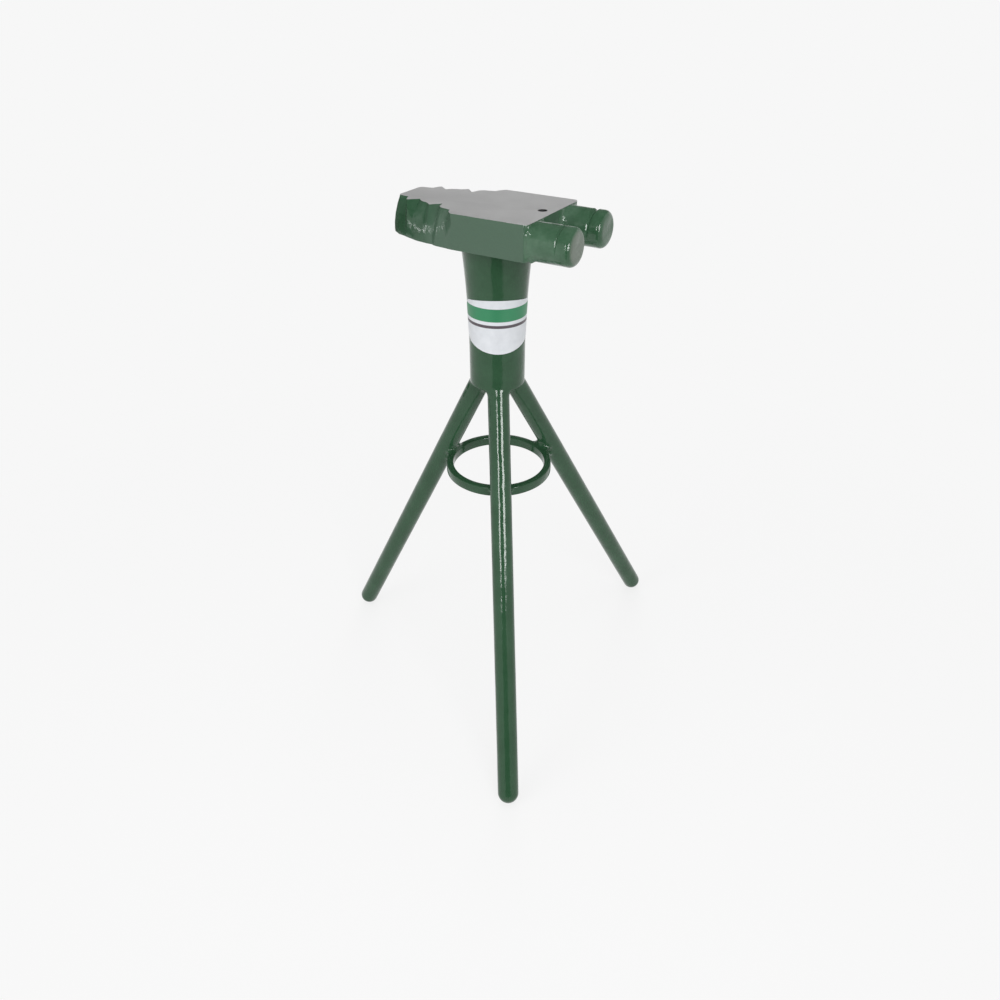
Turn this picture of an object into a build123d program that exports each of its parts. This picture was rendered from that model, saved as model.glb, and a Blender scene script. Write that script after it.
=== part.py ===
import os
from math import atan2, cos, hypot, radians, sin

from build123d import *

# A small steel anvil stand on three splayed legs, all its pieces welded together.
# +X runs along the head towards its two prongs, +Z is up, and the origin is on the floor
# below the middle of the column. All lengths are in millimetres, all angles in degrees.

# Head: a thick block with a notched nose at its -X end
stand_height = 558.8
head_thickness = 31.75
head_width = 98.6
prong_face_x = 58.4
shoulder_x = -18.0
block_corner_radius = 5.0
hole_diameter = 8.0
hole_x = 46.8

# Column: straight at its foot, flaring to a short straight rim under the head
column_length = 144.0
column_diameter = 56.0
column_top_diameter = 68.0
flare_length = 108.0
rim_length = 4.0

# Prongs: two round bars on the +X face of the head
prong_diameter = 33.6
prong_end_radius = 5.5
near_prong_offset = 33.0
near_prong_reach = 40.2
near_groove_setback = 13.5
near_groove_width = 2.4
near_groove_depth = 1.6
far_prong_offset = 29.6
far_prong_reach = 39.2
far_groove_setback = 13.2
far_groove_width = 6.0
far_groove_depth = 2.8

# Legs: round bars with ball ends, spread evenly and turned a little about the column
leg_diameter = 22.2
leg_top_radius = 17.5
side_leg_foot_radius = 225.9
nose_leg_foot_radius = 201.4
tripod_turn = 3.6
leg_spacing = 120.0

# Brace ring: a slice of thick pipe. It rests between the side legs and is coped over the
# third. Its top is given as a distance below the foot of the column.
ring_wall = 7.55
ring_height = 10.4
ring_drop = 95.55
ring_seat_gap = 0.3
nose_leg_cope = 3.4

# Welds
head_weld_leg = 4.0
prong_weld_leg = 4.0
leg_weld_rise = 2.4
leg_weld_run = 14.0
ring_weld_rise = 2.8
ring_weld_overlap = 3.0

# Label: a blank sheet stuck round the front of the column, at a height above its foot
label_thickness = 0.4
label_glue = 0.15
label_rise = 40.95
label_height = 54.5
label_top_crown = 6.5
label_bottom_crown = 11.5
label_angle = 178.0

head_underside = stand_height - head_thickness
column_foot = head_underside - column_length
column_radius = column_diameter / 2
column_top_radius = column_top_diameter / 2
rim_start = head_underside - rim_length
flare_start = rim_start - flare_length
prong_radius = prong_diameter / 2
prong_axis_height = stand_height - prong_radius
leg_radius = leg_diameter / 2
ring_top = column_foot - ring_drop

# Azimuth and foot radius of each leg
nose_side = tripod_turn + 180
legs = {
    "near_leg": (nose_side + leg_spacing, side_leg_foot_radius),
    "far_leg": (nose_side - leg_spacing, side_leg_foot_radius),
    "nose_leg": (nose_side, nose_leg_foot_radius),
}

# The nose outline on the +Y side, from its end to the shoulder. Each entry gives a point on
# the working face and the point below it on the underside. A "bend" is the middle of an arc
# that ends at the next entry. A "notch" is the bottom of a cut that is deep in the working
# face and dies away below it.
nose_line = [
    ("run", (-97.3, 13.0), (-103.8, 12.0)),
    ("bend", (-96.2, 16.8), (-101.9, 21.0)),
    ("run", (-92.5, 18.4), (-96.5, 27.6)),
    ("run", (-89.0, 18.8), (-87.8, 33.6)),
    ("notch", (-84.0, 19.8), (-79.3, 35.9)),
    ("bend", (-82.6, 24.4), (-76.5, 37.4)),
    ("run", (-79.8, 28.8), (-74.8, 38.0)),
    ("notch", (-70.2, 21.0), (-68.0, 40.3)),
    ("bend", (-64.6, 26.2), (-62.5, 42.3)),
    ("run", (-58.0, 28.2), (-54.6, 43.7)),
    ("run", (-51.4, 33.4), (-48.5, 44.6)),
    ("notch", (-42.9, 24.9), (-42.2, 44.9)),
    ("run", (-41.2, 29.0), (-41.0, 45.8)),
    ("bend", (-38.4, 35.2), (-38.0, 46.9)),
    ("run", (-32.8, 37.4), (-32.0, 47.8)),
    ("notch", (-25.0, 39.4), (-25.6, 48.4)),
    ("bend", (-22.0, 45.8), (-22.0, 49.0)),
]
nose_levels = 5
flank_curve = 2
notch_fade = 3

os.makedirs("parts", exist_ok=True)


def finish(piece, name):
    """Label a finished piece and write it to its own file."""
    piece.part.label = name
    export_step(piece.part, f"parts/{name}.step")


def between(start, end, share):
    """Give the point at a share of the way from one point to another."""
    return tuple(a + (b - a) * share for a, b in zip(start, end))


def nose_outline(level):
    """Draw the +Y half of the nose outline at a level, 0 on the underside and 1 on the face."""
    line = []
    for index, (kind, top, foot) in enumerate(nose_line):
        if kind == "notch":
            flank = between(nose_line[index - 1][1], nose_line[index + 1][1], 0.5)
            cut = between(flank, top, level**notch_fade)
            line.append((kind, between(foot, cut, level**flank_curve)))
        else:
            line.append((kind, between(foot, top, level**flank_curve)))
    line.append(("run", (shoulder_x, head_width / 2)))
    last = (line[0][1][0], 0.0)
    bend = None
    for kind, point in line:
        if kind == "bend":
            bend = point
        elif bend:
            ThreePointArc(last, bend, point)
            last = point
            bend = None
        else:
            Line(last, point)
            last = point
    Line(last, (shoulder_x, 0.0))


# Head block. Its working face is flat, and the flanks of the nose lean out below it on a
# curve, so the deep notches in the face die away towards the underside.
with BuildPart() as head_block:
    with BuildSketch(Plane.XY.offset(head_underside)):
        with Locations(((shoulder_x + prong_face_x) / 2, 0)):
            Rectangle(prong_face_x - shoulder_x, head_width)
    extrude(amount=head_thickness)
    end_corners = head_block.edges().filter_by(Axis.Z).group_by(Axis.X)[-1]
    fillet(end_corners, radius=block_corner_radius)
    for step in range(nose_levels):
        level = step / (nose_levels - 1)
        with BuildSketch(Plane.XY.offset(head_underside + head_thickness * level)):
            with BuildLine():
                nose_outline(level)
                mirror(about=Plane.XZ)
            make_face()
    loft(ruled=True)
    with Locations((hole_x, 0, stand_height)):
        Hole(radius=hole_diameter / 2, depth=head_thickness)
finish(head_block, "head_block")


def post_outline(skin):
    """Draw half the section of the post, its side moved out by a skin."""
    side = column_radius + skin
    top_side = column_top_radius + skin
    Line((0, column_foot), (side, column_foot))
    Line((side, column_foot), (side, flare_start))
    TangentArc((side, flare_start), (top_side, rim_start), tangent=(0, 1))
    Line((top_side, rim_start), (top_side, head_underside))
    Line((top_side, head_underside), (0, head_underside))
    Line((0, head_underside), (0, column_foot))


# Column: a solid post, straight at the foot and flaring on one long arc to its rim.
with BuildPart() as column:
    with BuildSketch(Plane.XZ):
        with BuildLine():
            post_outline(0)
        make_face()
    revolve(axis=Axis.Z)
finish(column, "column")

# Label: a blank sheet wrapped round the side of the post above the near leg. Its outline,
# seen from the front, has a crowned top and a deeper round bottom.
label_azimuth = legs["near_leg"][0]
label_front = Plane(
    origin=(0, 0, 0),
    x_dir=(-sin(radians(label_azimuth)), cos(radians(label_azimuth)), 0),
    z_dir=(cos(radians(label_azimuth)), sin(radians(label_azimuth)), 0),
)
label_bottom = column_foot + label_rise
label_top = label_bottom + label_height
label_skin = label_glue + label_thickness
label_reach = column_top_radius + label_skin
with BuildPart() as label:
    section = Plane.XZ.rotated((0, 0, label_azimuth - label_angle / 2))
    with BuildSketch(section):
        with BuildLine():
            post_outline(label_skin)
        make_face()
        with BuildLine():
            post_outline(label_glue)
        make_face(mode=Mode.SUBTRACT)
    revolve(axis=Axis.Z, revolution_arc=label_angle)
    with BuildSketch(label_front):
        with BuildLine():
            top_corner = label_top - label_top_crown
            bottom_corner = label_bottom + label_bottom_crown
            ThreePointArc((-label_reach, top_corner), (0, label_top), (label_reach, top_corner))
            Line((label_reach, top_corner), (label_reach, bottom_corner))
            ThreePointArc((label_reach, bottom_corner), (0, label_bottom), (-label_reach, bottom_corner))
            Line((-label_reach, bottom_corner), (-label_reach, top_corner))
        make_face()
    extrude(amount=label_reach, mode=Mode.INTERSECT)
finish(label, "blank_label")


def make_prong(offset, reach, groove_setback, groove_width, groove_depth):
    """Make one prong: a round bar with its end eased by two bevels and a groove over its top."""
    root = Vector(prong_face_x, offset, prong_axis_height)
    side = Plane(origin=root, x_dir=(1, 0, 0), z_dir=(0, -1, 0))
    ease_x = reach - prong_end_radius
    ease_r = prong_radius - prong_end_radius
    middle_ease = prong_end_radius * cos(radians(45))
    groove_x = reach - groove_setback
    groove_drop = groove_depth * 0.6
    groove_floor = prong_radius - groove_depth + groove_drop
    groove_mouth = groove_floor + 2 * groove_depth
    with BuildPart() as prong:
        with BuildSketch(side):
            with BuildLine():
                Polyline(
                    (0, 0),
                    (0, prong_radius),
                    (ease_x, prong_radius),
                    (ease_x + middle_ease, ease_r + middle_ease),
                    (reach, ease_r),
                    (reach, 0),
                    close=True,
                )
            make_face()
        revolve(axis=Axis(root, (1, 0, 0)))
        with BuildSketch(side):
            with BuildLine():
                Polyline(
                    (groove_x - groove_width, groove_mouth - groove_drop),
                    (groove_x, groove_floor - groove_drop),
                    (groove_x + groove_width, groove_mouth - groove_drop),
                    close=True,
                )
            make_face()
        revolve(axis=Axis(root - Vector(0, 0, groove_drop), (1, 0, 0)), mode=Mode.SUBTRACT)
    return prong


near_prong = make_prong(
    -near_prong_offset, near_prong_reach, near_groove_setback, near_groove_width, near_groove_depth
)
finish(near_prong, "near_prong")
far_prong = make_prong(
    far_prong_offset, far_prong_reach, far_groove_setback, far_groove_width, far_groove_depth
)
finish(far_prong, "far_prong")


def leg_axis(azimuth, foot_radius):
    """Give the centre of a leg's ball end and the middle of its level cut at the column."""
    out_x = cos(radians(azimuth))
    out_y = sin(radians(azimuth))
    foot = Vector(foot_radius * out_x, foot_radius * out_y, leg_radius)
    top = Vector(leg_top_radius * out_x, leg_top_radius * out_y, column_foot)
    return foot, top


def make_leg(azimuth, foot_radius):
    """Make one leg: a round bar with a ball end, cut level under the column."""
    foot, top = leg_axis(azimuth, foot_radius)
    along = (top - foot).normalized()
    with BuildPart() as leg:
        with BuildSketch(Plane(origin=foot, z_dir=along)):
            Circle(leg_radius)
        extrude(amount=(top - foot).length + leg_diameter)
        with Locations(foot):
            Sphere(leg_radius)
        split(bisect_by=Plane.XY.offset(column_foot), keep=Keep.BOTTOM)
    return leg


leg_parts = {}
for leg_name, (leg_azimuth, leg_foot_radius) in legs.items():
    leg_parts[leg_name] = make_leg(leg_azimuth, leg_foot_radius)
    finish(leg_parts[leg_name], leg_name)



def leg_at(name, height):
    """Give the point of a leg's axis at a height, and how far its bar reaches inwards there."""
    foot, top = leg_axis(*legs[name])
    point = foot + (top - foot) * ((height - foot.Z) / (top.Z - foot.Z))
    splay = atan2(hypot(foot.X - top.X, foot.Y - top.Y), top.Z - foot.Z)
    return point, hypot(point.X, point.Y) - leg_radius / cos(splay)


# Brace ring. Its top edge just clears the side legs, which with the cope over the third leg
# fixes both its radius and its shift away from that leg.
side_seat = leg_at("near_leg", ring_top)[1] - ring_seat_gap
nose_seat = leg_at("nose_leg", ring_top)[1] + nose_leg_cope
ring_shift = (side_seat - nose_seat) / (1 + cos(radians(180 - leg_spacing)))
ring_radius = nose_seat + ring_shift
ring_middle = (ring_shift * cos(radians(tripod_turn)), ring_shift * sin(radians(tripod_turn)))
with BuildPart() as brace_ring:
    with BuildSketch(Plane.XY.offset(ring_top - ring_height)):
        with Locations(ring_middle):
            Circle(ring_radius)
            Circle(ring_radius - ring_wall, mode=Mode.SUBTRACT)
    extrude(amount=ring_height)
    for leg in leg_parts.values():
        add(leg.part, mode=Mode.SUBTRACT)
finish(brace_ring, "brace_ring")

# Weld round the rim of the column, filling the corner under the head.
with BuildPart() as head_weld:
    with BuildSketch(Plane.XZ):
        with BuildLine():
            Polyline(
                (column_top_radius, head_underside),
                (column_top_radius, head_underside - head_weld_leg),
                (column_top_radius + head_weld_leg, head_underside),
                close=True,
            )
        make_face()
    revolve(axis=Axis.Z)
finish(head_weld, "head_weld")


def make_prong_weld(offset, prong):
    """Make the bead round the root of a prong, as far as the flat of the end face reaches."""
    root = (prong_face_x, offset, prong_axis_height)
    face_width = head_width - 2 * block_corner_radius
    with BuildPart() as weld:
        with Locations(Plane(origin=root, z_dir=(1, 0, 0))):
            Cone(
                prong_radius + prong_weld_leg,
                prong_radius,
                prong_weld_leg,
                align=(Align.CENTER, Align.CENTER, Align.MIN),
            )
        with BuildSketch(Plane(origin=(prong_face_x, 0, 0), x_dir=(0, 1, 0), z_dir=(1, 0, 0))):
            with Locations((0, stand_height - head_thickness / 2)):
                Rectangle(face_width, head_thickness)
        extrude(amount=prong_weld_leg, mode=Mode.INTERSECT)
        add(prong.part, mode=Mode.SUBTRACT)
    return weld


finish(make_prong_weld(-near_prong_offset, near_prong), "near_prong_weld")
finish(make_prong_weld(far_prong_offset, far_prong), "far_prong_weld")


def make_leg_weld(name):
    """Make the collar that blends one leg into the foot of the column."""
    foot, top = leg_axis(*legs[name])
    along = (top - foot).normalized()
    with BuildPart() as weld:
        with BuildSketch(Plane(origin=top - along * leg_weld_run, z_dir=along)):
            Circle(leg_radius + leg_weld_rise)
            Circle(leg_radius, mode=Mode.SUBTRACT)
        extrude(amount=2 * leg_weld_run)
        add(column.part, mode=Mode.SUBTRACT)
    return weld


def make_ring_weld(name):
    """Make the collar round the inner side of one leg that the ring is welded to."""
    foot, top = leg_axis(*legs[name])
    along = (top - foot).normalized()
    middle = leg_at(name, ring_top - ring_height / 2)[0]
    half_length = ring_height / 2 + ring_weld_overlap
    with BuildPart() as weld:
        with BuildSketch(Plane(origin=middle - along * half_length, z_dir=along)):
            Circle(leg_radius + ring_weld_rise)
            Circle(leg_radius, mode=Mode.SUBTRACT)
        extrude(amount=2 * half_length)
        outwards = Vector(foot.X - top.X, foot.Y - top.Y, 0).normalized()
        split(bisect_by=Plane(origin=middle, z_dir=outwards), keep=Keep.BOTTOM)
        add(brace_ring.part, mode=Mode.SUBTRACT)
    return weld


for leg_name in legs:
    finish(make_leg_weld(leg_name), f"{leg_name}_weld")
    finish(make_ring_weld(leg_name), f"{leg_name}_ring_weld")
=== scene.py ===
# %% [markdown]
# # A welded steel anvil stand
#
# The stand is a thick steel head on a flared post with three splayed legs and a brace ring.
# Everything except the ground top is covered in glossy green enamel, brushed on thick. The
# sizes come from the loaded frame, so each dressed piece lies exactly over its plain solid.

# %% The frame and the tools
import math
import random

import bmesh
import bpy
from mathutils import Matrix, Vector, noise


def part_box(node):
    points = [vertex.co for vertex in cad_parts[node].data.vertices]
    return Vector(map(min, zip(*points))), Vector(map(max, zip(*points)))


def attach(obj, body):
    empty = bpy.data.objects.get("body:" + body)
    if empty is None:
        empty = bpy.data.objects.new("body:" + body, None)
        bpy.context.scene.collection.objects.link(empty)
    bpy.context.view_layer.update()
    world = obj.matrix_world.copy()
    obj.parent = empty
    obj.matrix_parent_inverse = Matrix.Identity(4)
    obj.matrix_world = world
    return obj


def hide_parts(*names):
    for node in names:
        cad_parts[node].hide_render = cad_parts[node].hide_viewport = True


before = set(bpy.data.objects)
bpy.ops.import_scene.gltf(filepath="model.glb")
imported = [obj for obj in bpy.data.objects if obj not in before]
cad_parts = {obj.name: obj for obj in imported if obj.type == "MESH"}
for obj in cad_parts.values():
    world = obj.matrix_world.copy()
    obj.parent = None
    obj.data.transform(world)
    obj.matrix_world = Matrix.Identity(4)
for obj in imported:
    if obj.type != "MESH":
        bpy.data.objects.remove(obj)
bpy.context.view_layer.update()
UP = Vector((0, 0, 1))

# %% [markdown]
# The camera stands a little above the head and to the near side of it, as in the photograph.
# A real lens sees the same thing from the same place only, so the place, the direction and the
# angle of view were all worked out from the straight edges of the stand before anything else.

# %% Camera
CAMERA_PLACE = Vector((0.3801, -0.6347, 0.7406))
CAMERA_DIRECTION = Vector((-0.4211, 0.7090, -0.5657))
CAMERA_LENS = 28.33
camera = bpy.data.objects.new("camera", bpy.data.cameras.new("camera"))
bpy.context.scene.collection.objects.link(camera)
camera.location = CAMERA_PLACE
camera.rotation_mode = "QUATERNION"
camera.rotation_quaternion = CAMERA_DIRECTION.to_track_quat("-Z", "Y")
camera.data.sensor_width = 36
camera.data.lens = CAMERA_LENS
camera.data.clip_start = 0.01
bpy.context.scene.camera = camera

# %% [markdown]
# Every material here is a small graph of nodes. Patterns read Object coordinates, which are
# metres in the frame, so a scale of 400 means a grain of about two and a half millimetres. The
# helper below only saves typing: it adds a node, sets its plain values and links its inputs.


# %% Node helpers
class Graph:
    """A material's node tree with short calls to add and link nodes."""

    def __init__(self, name):
        self.material = bpy.data.materials.new(name)
        self.material.use_nodes = True
        self.tree = self.material.node_tree
        self.tree.nodes.clear()
        self.output = self.tree.nodes.new("ShaderNodeOutputMaterial")
        self.place = self.add("ShaderNodeTexCoord").outputs["Object"]

    def add(self, kind, links=None, **values):
        """Add a node, set its plain values and link its inputs."""
        node = self.tree.nodes.new(kind)
        for key, value in values.items():
            setattr(node, key, value)
        for key, value in (links or {}).items():
            if isinstance(value, bpy.types.NodeSocket):
                self.tree.links.new(value, node.inputs[key])
            else:
                node.inputs[key].default_value = value
        return node

    def stretch(self, scale):
        """The place, scaled by a different number along each axis."""
        return self.add("ShaderNodeMapping", {"Vector": self.place, "Scale": scale}).outputs[0]

    def noise(self, scale, detail=3, rough=0.5, vector=None):
        """Cloudy noise, most of it between 0.3 and 0.7."""
        links = {"Vector": vector or self.place, "Scale": scale, "Detail": detail, "Roughness": rough}
        return self.add("ShaderNodeTexNoise", links).outputs["Fac"]

    def ramp(self, value, stops):
        """Colours that follow a value through its stops."""
        node = self.add("ShaderNodeValToRGB", {"Fac": value})
        while len(node.color_ramp.elements) < len(stops):
            node.color_ramp.elements.new(0.5)
        for element, (at, colour) in zip(node.color_ramp.elements, stops):
            element.position = at
            element.color = (*colour, 1)
        return node.outputs["Color"]

    def grey(self, value, low, high, to_low=0.0, to_high=1.0):
        """A value moved from one range to another and held inside it."""
        links = {"Value": value, "From Min": low, "From Max": high, "To Min": to_low, "To Max": to_high}
        return self.add("ShaderNodeMapRange", links).outputs["Result"]

    def mix(self, share, first, second):
        """A blend of two colours."""
        node = self.add("ShaderNodeMix", data_type="RGBA")
        for index, value in ((0, share), (6, first), (7, second)):
            if isinstance(value, bpy.types.NodeSocket):
                self.tree.links.new(value, node.inputs[index])
            else:
                node.inputs[index].default_value = value
        return node.outputs[2]

    def math(self, operation, first, second=0.0):
        """One sum of two numbers."""
        node = self.add("ShaderNodeMath", operation=operation)
        for index, value in enumerate((first, second)):
            if isinstance(value, bpy.types.NodeSocket):
                self.tree.links.new(value, node.inputs[index])
            else:
                node.inputs[index].default_value = value
        return node.outputs[0]

    def bump(self, height, distance, normal=None, strength=1.0):
        """A normal bent by a height of a depth in metres."""
        links = {"Height": height, "Distance": distance, "Strength": strength}
        if normal is not None:
            links["Normal"] = normal
        return self.add("ShaderNodeBump", links).outputs["Normal"]

    def finish(self, shader):
        """Link the shader to the output and give the material back."""
        self.tree.links.new(shader.outputs[0], self.output.inputs["Surface"])
        return self.material


def rgba(red, green, blue):
    """A linear colour as the four numbers that a colour socket takes."""
    return (red, green, blue, 1.0)


print("node helpers ready")

# %% [markdown]
# The enamel is a thick glossy paint over rough steel. Its colour is nearly even, a little
# darker where it pooled, and its surface is never flat: slow waves from the brush bend every
# reflection, and fine pimples of the steel below break the highlights up. So most of the work
# is in the bump, in three sizes, and little in the colour. Painting the highlights on would be
# simpler, but they would be right from one side only. The prongs get a paler copy of the
# enamel, which is painted light, and at their very ends it turns grey, a painted reflection of
# the pale background.

# %% Green enamel
DEEP_GREEN = rgba(0.019, 0.062, 0.028)
MID_GREEN = rgba(0.027, 0.078, 0.038)
# The head's paler green is painted light.
HEAD_LIT_GREEN = rgba(0.045, 0.102, 0.060)
# The prongs' paler green is painted light.
PRONG_LIT_GREEN = rgba(0.070, 0.138, 0.086)
DUST_COLOUR = rgba(0.10, 0.15, 0.11)
# A painted reflection of the pale background: the grey on the prongs' ends.
END_REFLECTION_GREY = rgba(0.19, 0.20, 0.175)
MOST_OF_NOISE = (0.3, 0.7)
CLOUD_SPAN = (0.32, 0.70)
DUST_SPAN = (0.58, 0.85)
GLOSS_SPAN = (0.3, 0.75)
CLOUD_SCALE = 38
DUST_SCALE = 420
WAVE_SCALE = 60
LUMP_SCALE = 330
GRAIN_SCALE = 900
DUST_SHARE = 0.12
LUMP_SHARE = 0.12
GLOSS = (0.07, 0.15)
BAR_SHINE = 0.36
BAR_WAVE = 0.0006
BAR_GRAIN = 0.00004
PRONG_WAVE = 0.0012
PRONG_GRAIN = 0.00008
# Where the painted reflection on the prongs' ends starts and where it is full, measured back from the
# end.
END_REFLECTION_START = 0.0012
END_REFLECTION_FULL = 0.0002
END_REFLECTION_SHARE = 0.5


def make_enamel(name, deep, light, wave, grain, shine=BAR_SHINE):
    """Glossy green enamel between two colours, with the depths in metres of its waves and grain."""
    g = Graph(name)
    cloud = g.noise(CLOUD_SCALE, 4, 0.6)
    colour = g.mix(g.grey(cloud, *CLOUD_SPAN), deep, light)
    dust = g.grey(g.noise(DUST_SCALE, 3, 0.65), *DUST_SPAN)
    colour = g.mix(g.math("MULTIPLY", dust, DUST_SHARE), colour, DUST_COLOUR)
    slow = g.bump(g.noise(WAVE_SCALE, 2, 0.5), wave)
    lumpy = g.bump(g.noise(LUMP_SCALE, 2, 0.5), wave * LUMP_SHARE, slow)
    fine = g.bump(g.noise(GRAIN_SCALE, 2, 0.5), grain, lumpy)
    rough = g.grey(cloud, *GLOSS_SPAN, *GLOSS)
    shader = g.add("ShaderNodeBsdfPrincipled", {"Base Color": colour, "Roughness": rough, "Normal": fine})
    shader.inputs["Specular IOR Level"].default_value = shine
    return g, shader


def make_bar_enamel():
    """The dark enamel of the post, the legs and the ring."""
    g, shader = make_enamel("bar_enamel", DEEP_GREEN, MID_GREEN, BAR_WAVE, BAR_GRAIN)
    return g.finish(shader)


def make_prong_enamel():
    """A paler copy of the enamel as painted light, turning grey at the prongs' very ends as a painted
    reflection.
    """
    g, shader = make_enamel("prong_enamel", MID_GREEN, PRONG_LIT_GREEN, PRONG_WAVE, PRONG_GRAIN)
    along = g.add("ShaderNodeSeparateXYZ", {"Vector": g.place}).outputs["X"]
    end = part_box("near_prong")[1].x
    # Painted reflection: the colour turns grey over the last millimetre of each prong.
    end_reflection = g.grey(along, end - END_REFLECTION_START, end - END_REFLECTION_FULL, 0.0, END_REFLECTION_SHARE)
    painted = shader.inputs["Base Color"].links[0].from_socket
    g.tree.links.new(g.mix(end_reflection, painted, END_REFLECTION_GREY), shader.inputs["Base Color"])
    return g.finish(shader)


bar_enamel = make_bar_enamel()
prong_enamel = make_prong_enamel()
print("made", bar_enamel.name, "and", prong_enamel.name)

# %% [markdown]
# The head wears two finishes: its top was ground bare and everything below is enamel. One
# material holds both shaders, and the height of the surface chooses between them. A little
# noise on that height makes the paint's edge uneven, as it is where a grinder took it off. The
# ground steel has dulled in the air, so it is drawn half as metal and half as a grey skin, which
# keeps it even from every side. The head's enamel is a paler copy, and it turns paler still
# behind the nose: both are painted light. The round hole is drawn near black inside, which is
# painted shade, and a third shader takes over within its edge.

# %% Ground steel over enamel
HEAD_LOW, HEAD_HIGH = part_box("head_block")
HEAD_TOP = HEAD_HIGH.z
HEAD_WAVE = 0.0010
HEAD_GRAIN = 0.00008
HEAD_SHINE = 0.40
GROUND_DEPTH = 0.00016
RAGGED_DEPTH = GROUND_DEPTH * 0.4
RAGGED_SCALE = 500
HOLE_PLACE = Vector((0.0468, 0.0, 0.0))
HOLE_RADIUS = 0.004
HOLE_EDGE = 0.0007
HOLE_RAGGED = 2.0
NOSE_END = -0.056
FLANK_START = -0.044
# Painted light: the head's enamel behind the nose is paler.
FLANK_LIT_GREEN = rgba(0.058, 0.108, 0.071)
STEEL_DARK = rgba(0.525, 0.525, 0.525)
STEEL_LIGHT = rgba(0.575, 0.575, 0.574)
STEEL_METAL = 0.5
STEEL_ROUGH = (0.48, 0.60)
SCRATCH_GREY = rgba(0.43, 0.43, 0.43)
SCRATCH_STRETCH = (45, 900, 300)
SCRATCH_SPAN = (0.35, 0.7)
SCRATCH_SHARE = 0.18
SCRATCH_DEPTH = 0.00005
# Painted shade: the inside of the round hole is near black.
HOLE_SHADE_DARK = rgba(0.006, 0.006, 0.007)
HOLE_SHADE_LIGHT = rgba(0.012, 0.011, 0.012)
HOLE_SHADE_ROUGH = 0.7
BLOTCH_SCALE = 30


def ground_steel(g, blotch):
    """Dulled steel with fine grinding scratches along the head."""
    grind = g.noise(1, 4, 0.65, g.stretch(SCRATCH_STRETCH))
    colour = g.mix(g.grey(blotch, *MOST_OF_NOISE), STEEL_DARK, STEEL_LIGHT)
    scratched = g.math("MULTIPLY", g.grey(grind, *SCRATCH_SPAN), SCRATCH_SHARE)
    links = {
        "Base Color": g.mix(scratched, colour, SCRATCH_GREY),
        "Roughness": g.grey(blotch, *MOST_OF_NOISE, *STEEL_ROUGH),
        "Normal": g.bump(grind, SCRATCH_DEPTH),
        "Metallic": STEEL_METAL,
    }
    return g.add("ShaderNodeBsdfPrincipled", links)


def hole_share(g, ragged):
    """How much of the surface is inside the round hole, by its distance from the hole's axis."""
    aside = g.add("ShaderNodeVectorMath", {0: g.place, 1: HOLE_PLACE}, operation="SUBTRACT").outputs[0]
    flat = g.add("ShaderNodeVectorMath", {0: aside, 1: (1.0, 1.0, 0.0)}, operation="MULTIPLY").outputs[0]
    away = g.add("ShaderNodeVectorMath", {0: flat}, operation="LENGTH").outputs["Value"]
    uneven = g.math("ADD", away, g.math("MULTIPLY", ragged, HOLE_RAGGED))
    return g.grey(uneven, HOLE_RADIUS, HOLE_RADIUS + HOLE_EDGE, 1.0, 0.0)


def make_head_finish():
    """Enamel below, paler behind the nose as painted light, bare ground steel on the working face and a
    hole drawn near black as painted shade.
    """
    g, paint = make_enamel("head_finish", DEEP_GREEN, HEAD_LIT_GREEN, HEAD_WAVE, HEAD_GRAIN, HEAD_SHINE)
    place = g.add("ShaderNodeSeparateXYZ", {"Vector": g.place})
    # Painted light: the enamel turns paler behind the nose.
    flank_light_share = g.grey(place.outputs["X"], NOSE_END, FLANK_START)
    flank_lit_coat = g.mix(flank_light_share, paint.inputs["Base Color"].links[0].from_socket, FLANK_LIT_GREEN)
    g.tree.links.new(flank_lit_coat, paint.inputs["Base Color"])
    ragged = g.grey(g.noise(RAGGED_SCALE, 3, 0.6), *MOST_OF_NOISE, -RAGGED_DEPTH, RAGGED_DEPTH)
    level = g.math("ADD", place.outputs["Z"], ragged)
    bare = g.grey(level, HEAD_TOP - GROUND_DEPTH, HEAD_TOP - GROUND_DEPTH * 0.5)
    blotch = g.noise(BLOTCH_SCALE, 4, 0.6)
    steel = ground_steel(g, blotch)
    both = g.add("ShaderNodeMixShader", {0: bare, 1: paint.outputs[0], 2: steel.outputs[0]})
    # Painted shade: the hole's inside is drawn near black.
    hole_shade = g.mix(g.grey(blotch, *MOST_OF_NOISE), HOLE_SHADE_DARK, HOLE_SHADE_LIGHT)
    dark = g.add("ShaderNodeBsdfPrincipled", {"Base Color": hole_shade, "Roughness": HOLE_SHADE_ROUGH})
    inside = hole_share(g, ragged)
    whole = g.add("ShaderNodeMixShader", {0: inside, 1: both.outputs[0], 2: dark.outputs[0]})
    return g.finish(whole)


head_finish = make_head_finish()
print("made", head_finish.name, "with bare steel above", round(HEAD_TOP - GROUND_DEPTH, 5), "m")

# %% [markdown]
# The label is a blank vinyl sticker. It is off-white with a soft sheen, and two plain bands in
# the colours of the stand's paint and of dark ink keep it from looking unfinished. The bands
# depend on height alone, so no picture has to be fitted to the curve of the post.

# %% Label vinyl
LABEL_LOW, LABEL_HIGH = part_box("blank_label")
GREEN_BAND = (0.457, 0.470)
DARK_BAND = (0.4505, 0.4535)
BAND_EDGE = 0.0001
GREEN_INK = rgba(0.022, 0.20, 0.085)
DARK_INK = rgba(0.075, 0.06, 0.07)
VINYL_DARK = (0.60, 0.62, 0.65)
VINYL_LIGHT = (0.66, 0.68, 0.71)
VINYL_ROUGH = (0.32, 0.42)
VINYL_BUMP = 0.00008


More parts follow.
